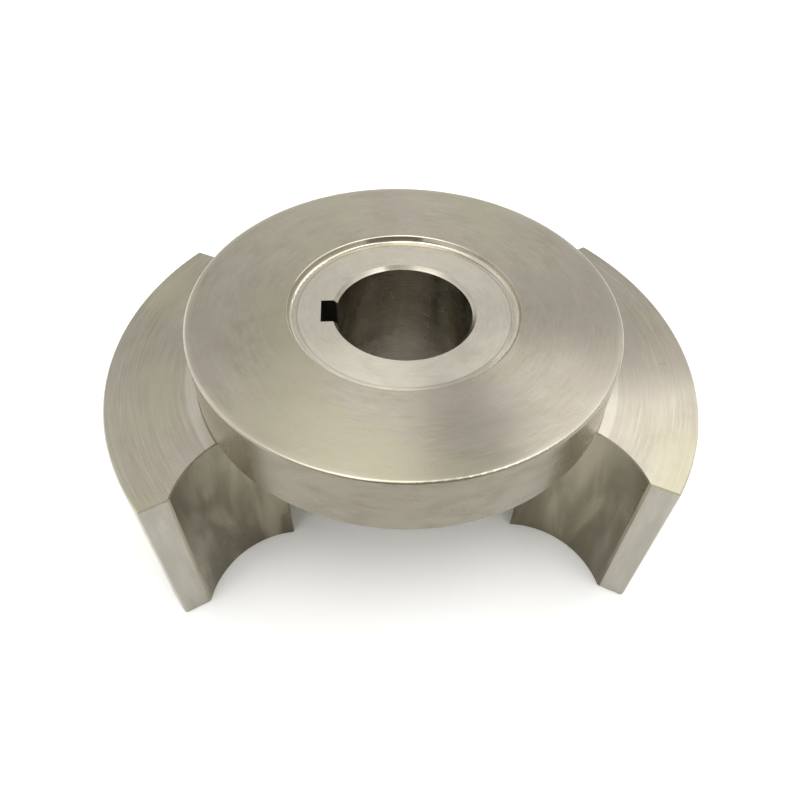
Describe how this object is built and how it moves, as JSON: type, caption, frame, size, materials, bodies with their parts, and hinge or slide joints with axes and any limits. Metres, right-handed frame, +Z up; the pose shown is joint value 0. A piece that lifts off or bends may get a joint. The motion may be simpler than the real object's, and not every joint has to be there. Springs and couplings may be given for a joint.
{
  "type": "two-wing driver rotor coupling",
  "caption": "Round disc with a recessed face and a keyed shaft sleeve, carrying thick curved wings with scooped ends that hang from its underside and drive the mating rotor or ring.",
  "frame": {"origin": "on the shaft axis, in the plane of the wing feet", "axes": "+Z up along the shaft axis towards the recessed face, +X from the shaft axis through the middle of the right wing, away from the keyway, +Y towards the rear"},
  "size_m": [0.184, 0.129, 0.0813],
  "materials": {
    "disc_steel": "fine turned stainless steel, satin, concentric tool marks",
    "sleeve_steel": "smooth turned stainless steel, satin, honed bore",
    "wing_steel": "turned and milled stainless steel, satin, faint stains",
    "screw_steel": "plain stainless steel, satin",
    "dowel_steel": "ground steel, semi-bright"
  },
  "bodies": {
    "root": {"hub_disc": "disc_steel", "shaft_sleeve": "sleeve_steel", "wing_left": "wing_steel", "wing_right": "wing_steel", "wing_left_screw_front": "screw_steel", "wing_left_screw_middle": "screw_steel", "wing_left_screw_rear": "screw_steel", "wing_left_dowel_front": "dowel_steel", "wing_left_dowel_rear": "dowel_steel", "wing_right_screw_front": "screw_steel", "wing_right_screw_middle": "screw_steel", "wing_right_screw_rear": "screw_steel", "wing_right_dowel_front": "dowel_steel", "wing_right_dowel_rear": "dowel_steel"}
  },
  "joints": []
}
